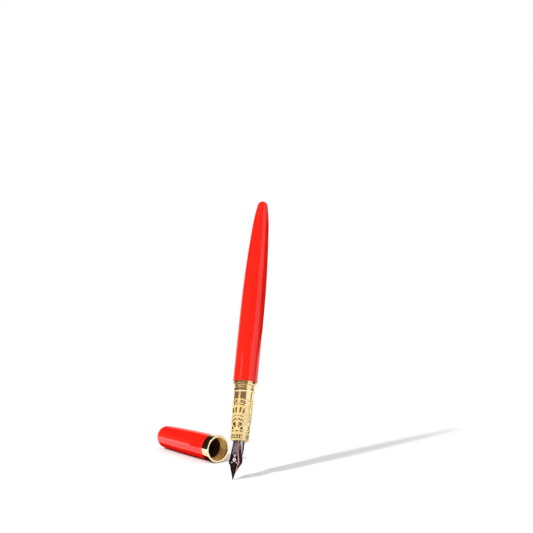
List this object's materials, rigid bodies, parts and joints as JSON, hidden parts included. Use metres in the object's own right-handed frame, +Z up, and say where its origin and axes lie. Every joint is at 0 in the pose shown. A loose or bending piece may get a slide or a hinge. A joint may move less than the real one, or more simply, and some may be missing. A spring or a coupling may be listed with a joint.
{
  "type": "fountain pen",
  "caption": "Slim uncapped fountain pen whose barrel tapers like a paintbrush handle, with gold relief grip, pierced steel nib, piston converter inside and a clipless screw cap lying beside it.",
  "frame": {"origin": "the point where the ball of the nib touches the surface it writes on", "axes": "+Z up; the pen leans 19.3 degrees from +Z towards a heading 34.8 degrees from +X to +Y; the cap lies on its side with its mouth facing -Y"},
  "size_m": [0.044, 0.0922, 0.1365],
  "materials": {
    "gold_plate": "polished gold plating",
    "bare_brass": "turned",
    "red_lacquer": "high-gloss lacquer over brass",
    "polished_steel": "mirror polished, engraved",
    "tipping_alloy": "ground",
    "black_plastic": "moulded, satin",
    "dark_liner": "moulded, satin",
    "clear_plastic": "clear",
    "chromed_band": "polished",
    "knob_plastic": "glossy, fluted",
    "seal_rubber": "matt"
  },
  "bodies": {
    "grip": {"grip_sleeve": "gold_plate", "grip_core": "black_plastic", "thread_collar": "gold_plate", "nib_housing": "black_plastic", "nib": "polished_steel", "nib_tipping": "tipping_alloy", "feed": "black_plastic"},
    "seal": {"barrel_seal": "seal_rubber"},
    "trim": {"trim_ring": "gold_plate"},
    "barrel": {"barrel_shell": "red_lacquer", "barrel_bushing": "bare_brass"},
    "converter": {"converter_nozzle": "clear_plastic", "converter_tube": "clear_plastic", "converter_band": "chromed_band", "rod_guide": "black_plastic"},
    "knob": {"converter_knob": "knob_plastic", "knob_cap": "knob_plastic"},
    "piston": {"piston_head": "black_plastic", "piston_seals": "seal_rubber", "piston_screw": "black_plastic"},
    "cap": {"cap_shell": "red_lacquer", "cap_ring": "gold_plate", "cap_thread_insert": "gold_plate", "cap_liner": "dark_liner"}
  },
  "joints": [
    {"name": "barrel_turn", "type": "hinge", "parent": "grip", "child": "seal", "pos_m": [0.01582, 0.01034, 0.04665], "axis": [0.2714, 0.1886, 0.9438], "range_deg": [0, 1800]},
    {"name": "barrel_thread", "type": "slide", "parent": "seal", "child": "trim", "axis": [0.2714, 0.1886, 0.9438], "range_m": [0, 0.00375]},
    {"name": "barrel_draw", "type": "slide", "parent": "trim", "child": "barrel", "axis": [0.2714, 0.1886, 0.9438], "range_m": [0, 0.085]},
    {"name": "converter_pull", "type": "slide", "parent": "grip", "child": "converter", "axis": [0.2714, 0.1886, 0.9438], "range_m": [0, 0.008]},
    {"name": "knob_turn", "type": "hinge", "parent": "converter", "child": "knob", "pos_m": [0.02858, 0.0192, 0.09101], "axis": [-0.2714, -0.1886, -0.9438], "range_deg": [0, 1224]},
    {"name": "piston_travel", "type": "slide", "parent": "converter", "child": "piston", "axis": [0.2714, 0.1886, 0.9438], "range_m": [0, 0.017]},
    {"name": "cap_lift", "type": "slide", "parent": "grip", "child": "cap", "axis": [0, 0, 1], "range_m": [0, 0.06]}
  ],
  "couplings": [
    {"joint": "barrel_thread", "follows": "barrel_turn", "m_per_rad": 0.00011937},
    {"joint": "knob_turn", "follows": "piston_travel", "rad_per_m": 1256.6}
  ]
}
